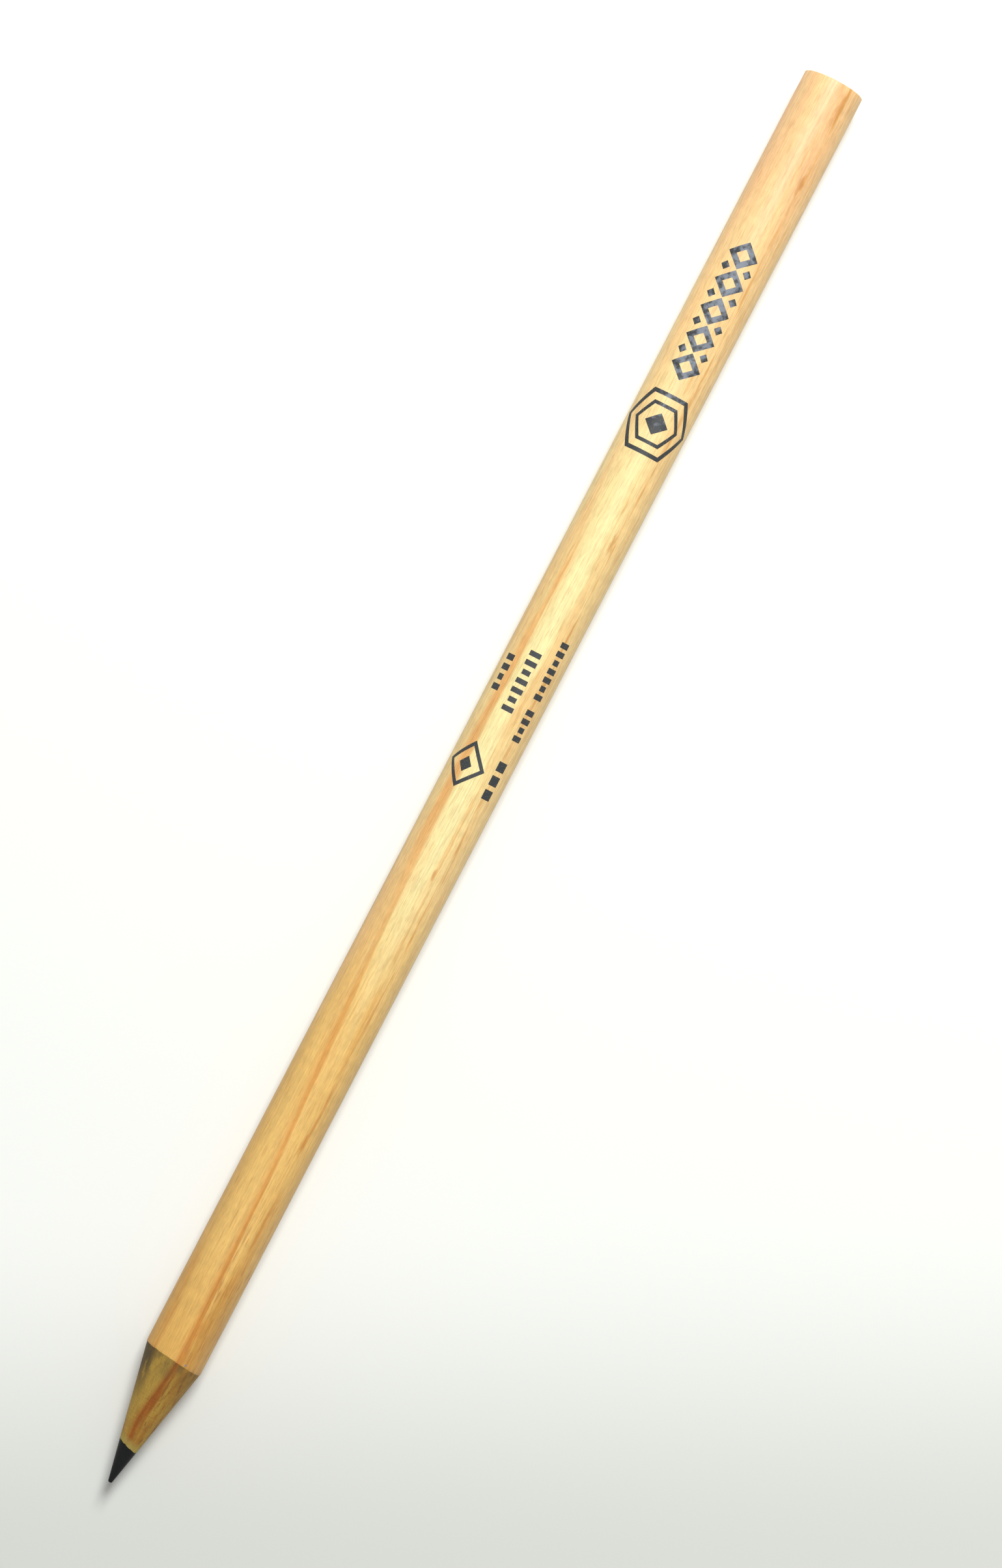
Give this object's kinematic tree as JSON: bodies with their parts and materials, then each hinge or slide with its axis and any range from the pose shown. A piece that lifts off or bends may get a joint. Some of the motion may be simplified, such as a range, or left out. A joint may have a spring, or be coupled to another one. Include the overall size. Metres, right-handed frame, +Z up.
{
  "type": "round wooden pencil",
  "caption": "Full-length round pencil of clear-varnished natural wood, sharpened once to a blunt graphite tip, with a plain flat end and worn dark printing.",
  "frame": {"origin": "on the surface that the pencil lies on, under the middle of its length", "axes": "+X along the barrel from the lead's tip towards the flat end, +Z up, +Y across the barrel, level with the surface"},
  "size_m": [0.1724, 0.007, 0.007],
  "materials": {
    "natural_wood": "clear satin varnish, bare where it is sharpened",
    "graphite": "dull grey-black, slightly shiny where it is worn"
  },
  "bodies": {
    "root": {"upper_slat": "natural_wood", "lower_slat": "natural_wood", "lead_core": "graphite"}
  },
  "joints": []
}
